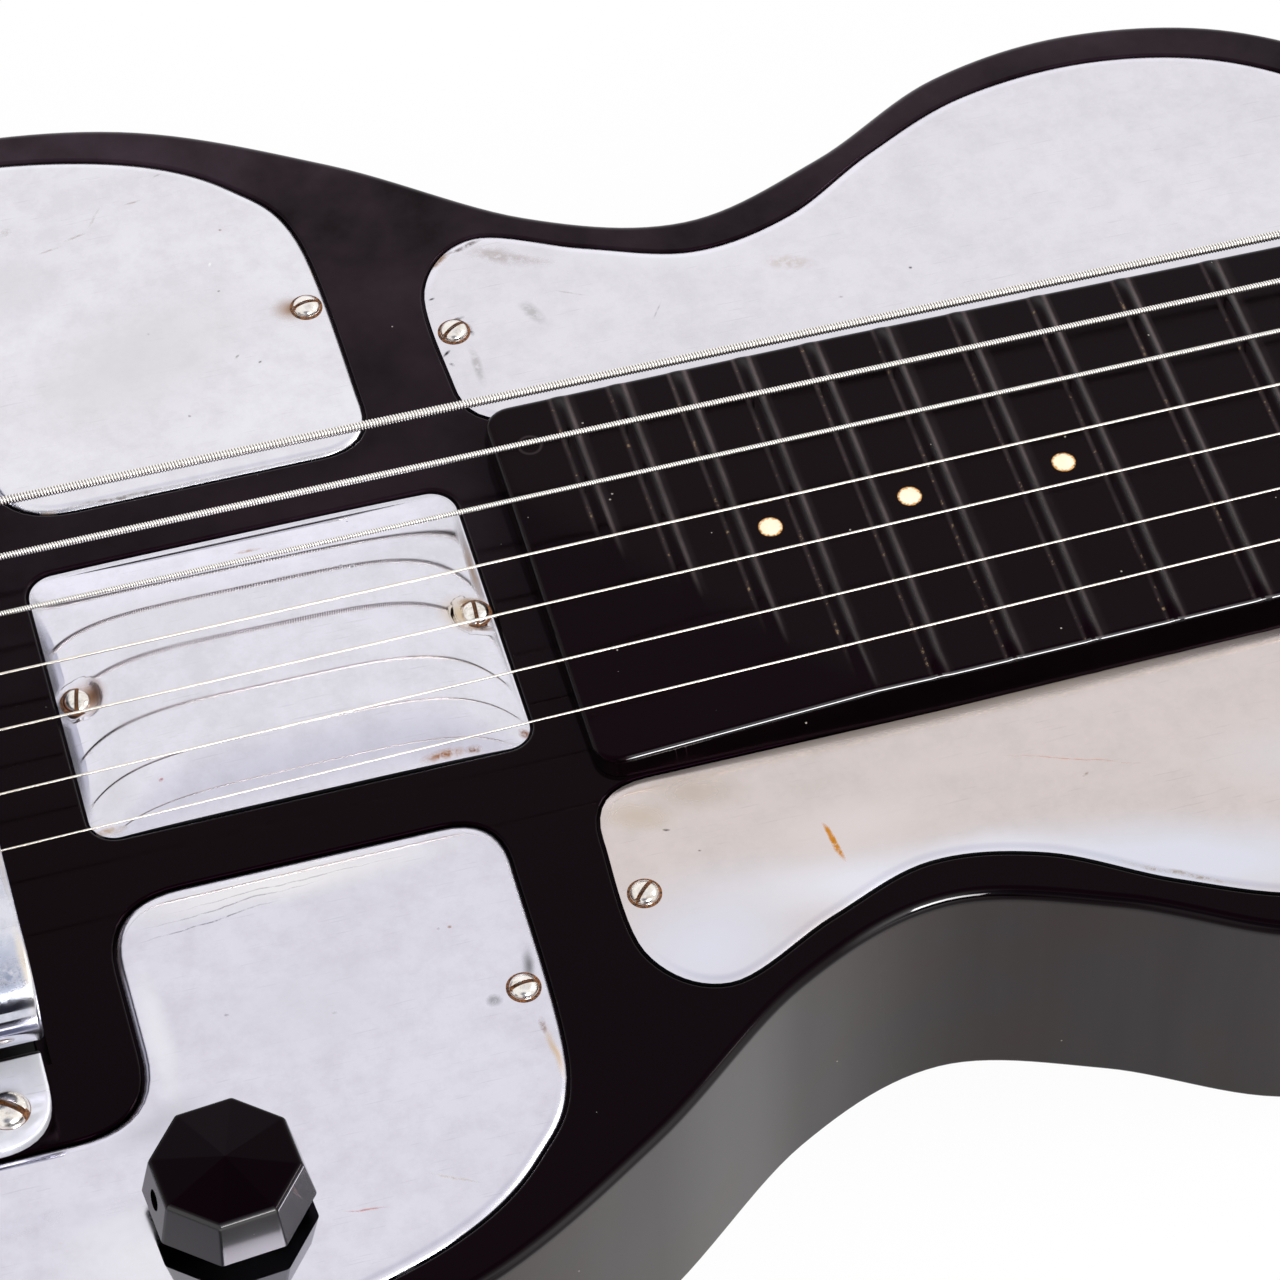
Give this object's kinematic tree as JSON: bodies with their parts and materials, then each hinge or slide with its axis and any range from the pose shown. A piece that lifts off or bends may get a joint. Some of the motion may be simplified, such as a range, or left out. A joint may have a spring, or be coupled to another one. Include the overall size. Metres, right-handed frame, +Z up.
{
  "type": "lap steel guitar",
  "caption": "Moulded solid-body lap steel guitar with polished cover plates, a horseshoe-magnet pickup, a volume knob and geared tuners, lying flat on its back.",
  "frame": {"origin": "the point of the flat back that lies under the middle of the bridge saddle line", "axes": "+X from the bridge to the head along the strings, +Y to the bass side, +Z up out of the playing face"},
  "size_m": [0.7345, 0.2296, 0.0645],
  "materials": {
    "moulded_black": "moulded and polished black phenolic",
    "plate_chrome": "polished, slightly worn and cloudy",
    "magnet_chrome": "polished plating, mottled with age",
    "screw_nickel": "worn nickel plating, tarnished slots",
    "string_steel": "drawn and wound steel wire",
    "tuner_nickel": "nickel plated, slightly dulled",
    "pole_steel": "machined steel",
    "coil_copper": "enamelled copper winding",
    "bobbin_fibre": "pressed black fibre",
    "button_cream": "polished cream plastic",
    "lead_cover": "waxed woven cover"
  },
  "bodies": {
    "chassis": {"body": "moulded_black", "neck": "moulded_black", "neck_bolt": "screw_nickel", "plate_centre": "plate_chrome", "plate_lower_bass": "plate_chrome", "plate_lower_treble": "plate_chrome", "plate_upper_bass": "plate_chrome", "plate_upper_treble": "plate_chrome", "screw_lower_bass_1": "screw_nickel", "screw_lower_bass_2": "screw_nickel", "screw_lower_bass_3": "screw_nickel", "screw_lower_treble_1": "screw_nickel", "screw_lower_treble_2": "screw_nickel", "screw_lower_treble_3": "screw_nickel", "screw_upper_bass_1": "screw_nickel", "screw_upper_bass_2": "screw_nickel", "screw_upper_treble_1": "screw_nickel", "screw_upper_treble_2": "screw_nickel", "screw_centre_1": "screw_nickel", "screw_centre_2": "screw_nickel", "pickup_cradle": "magnet_chrome", "magnet_bass": "magnet_chrome", "magnet_treble": "magnet_chrome", "pickup_bobbin": "bobbin_fibre", "pickup_coil": "coil_copper", "pole_comb": "pole_steel", "pickup_screw_bass_1": "screw_nickel", "pickup_screw_bass_2": "screw_nickel", "pickup_screw_treble_1": "screw_nickel", "pickup_screw_treble_2": "screw_nickel", "pickup_lead": "lead_cover", "bridge": "moulded_black", "volume_pot": "tuner_nickel", "output_jack": "tuner_nickel", "jack_lead": "lead_cover", "string_1": "string_steel", "string_2": "string_steel", "string_3": "string_steel", "string_4": "string_steel", "string_5": "string_steel", "string_6": "string_steel", "string_7": "string_steel", "tuner_plate_bass": "tuner_nickel", "tuner_plate_treble": "tuner_nickel"},
    "volume_control": {"volume_knob": "moulded_black", "volume_shaft": "tuner_nickel"},
    "button_1": {"tuner_button_1": "button_cream"},
    "post_1": {"tuner_post_1": "tuner_nickel"},
    "button_2": {"tuner_button_2": "button_cream"},
    "post_2": {"tuner_post_2": "tuner_nickel"},
    "button_3": {"tuner_button_3": "button_cream"},
    "post_3": {"tuner_post_3": "tuner_nickel"},
    "button_4": {"tuner_button_4": "button_cream"},
    "post_4": {"tuner_post_4": "tuner_nickel"},
    "button_5": {"tuner_button_5": "button_cream"},
    "post_5": {"tuner_post_5": "tuner_nickel"},
    "button_6": {"tuner_button_6": "button_cream"},
    "post_6": {"tuner_post_6": "tuner_nickel"},
    "button_7": {"tuner_button_7": "button_cream"},
    "post_7": {"tuner_post_7": "tuner_nickel"}
  },
  "joints": [
    {"name": "volume_turn", "type": "hinge", "parent": "chassis", "child": "volume_control", "pos_m": [0.0726, -0.089, 0.0448], "axis": [0, 0, 1], "range_deg": [-150, 150]},
    {"name": "button_1_turn", "type": "hinge", "parent": "chassis", "child": "button_1", "pos_m": [0.6009, 0.024, 0.0231], "axis": [0, 1, 0], "range_deg": [-1800, 1800]},
    {"name": "post_1_turn", "type": "hinge", "parent": "chassis", "child": "post_1", "pos_m": [0.593, 0.024, 0.0429], "axis": [0, 0, 1], "range_deg": [-130, 130]},
    {"name": "button_2_turn", "type": "hinge", "parent": "chassis", "child": "button_2", "pos_m": [0.6229, 0.024, 0.0231], "axis": [0, 1, 0], "range_deg": [-1800, 1800]},
    {"name": "post_2_turn", "type": "hinge", "parent": "chassis", "child": "post_2", "pos_m": [0.615, 0.024, 0.0429], "axis": [0, 0, 1], "range_deg": [-130, 130]},
    {"name": "button_3_turn", "type": "hinge", "parent": "chassis", "child": "button_3", "pos_m": [0.6449, 0.024, 0.0231], "axis": [0, 1, 0], "range_deg": [-1800, 1800]},
    {"name": "post_3_turn", "type": "hinge", "parent": "chassis", "child": "post_3", "pos_m": [0.637, 0.024, 0.0429], "axis": [0, 0, 1], "range_deg": [-130, 130]},
    {"name": "button_4_turn", "type": "hinge", "parent": "chassis", "child": "button_4", "pos_m": [0.6669, 0.024, 0.0231], "axis": [0, 1, 0], "range_deg": [-1800, 1800]},
    {"name": "post_4_turn", "type": "hinge", "parent": "chassis", "child": "post_4", "pos_m": [0.659, 0.024, 0.0429], "axis": [0, 0, 1], "range_deg": [-130, 130]},
    {"name": "button_5_turn", "type": "hinge", "parent": "chassis", "child": "button_5", "pos_m": [0.6449, -0.024, 0.0231], "axis": [0, 1, 0], "range_deg": [-1800, 1800]},
    {"name": "post_5_turn", "type": "hinge", "parent": "chassis", "child": "post_5", "pos_m": [0.637, -0.024, 0.0429], "axis": [0, 0, 1], "range_deg": [-130, 130]},
    {"name": "button_6_turn", "type": "hinge", "parent": "chassis", "child": "button_6", "pos_m": [0.6229, -0.024, 0.0231], "axis": [0, 1, 0], "range_deg": [-1800, 1800]},
    {"name": "post_6_turn", "type": "hinge", "parent": "chassis", "child": "post_6", "pos_m": [0.615, -0.024, 0.0429], "axis": [0, 0, 1], "range_deg": [-130, 130]},
    {"name": "button_7_turn", "type": "hinge", "parent": "chassis", "child": "button_7", "pos_m": [0.6009, -0.024, 0.0231], "axis": [0, 1, 0], "range_deg": [-1800, 1800]},
    {"name": "post_7_turn", "type": "hinge", "parent": "chassis", "child": "post_7", "pos_m": [0.593, -0.024, 0.0429], "axis": [0, 0, 1], "range_deg": [-130, 130]}
  ],
  "couplings": [
    {"joint": "post_1_turn", "follows": "button_1_turn", "ratio": 0.071429},
    {"joint": "post_2_turn", "follows": "button_2_turn", "ratio": 0.071429},
    {"joint": "post_3_turn", "follows": "button_3_turn", "ratio": 0.071429},
    {"joint": "post_4_turn", "follows": "button_4_turn", "ratio": 0.071429},
    {"joint": "post_5_turn", "follows": "button_5_turn", "ratio": -0.071429},
    {"joint": "post_6_turn", "follows": "button_6_turn", "ratio": -0.071429},
    {"joint": "post_7_turn", "follows": "button_7_turn", "ratio": -0.071429}
  ]
}
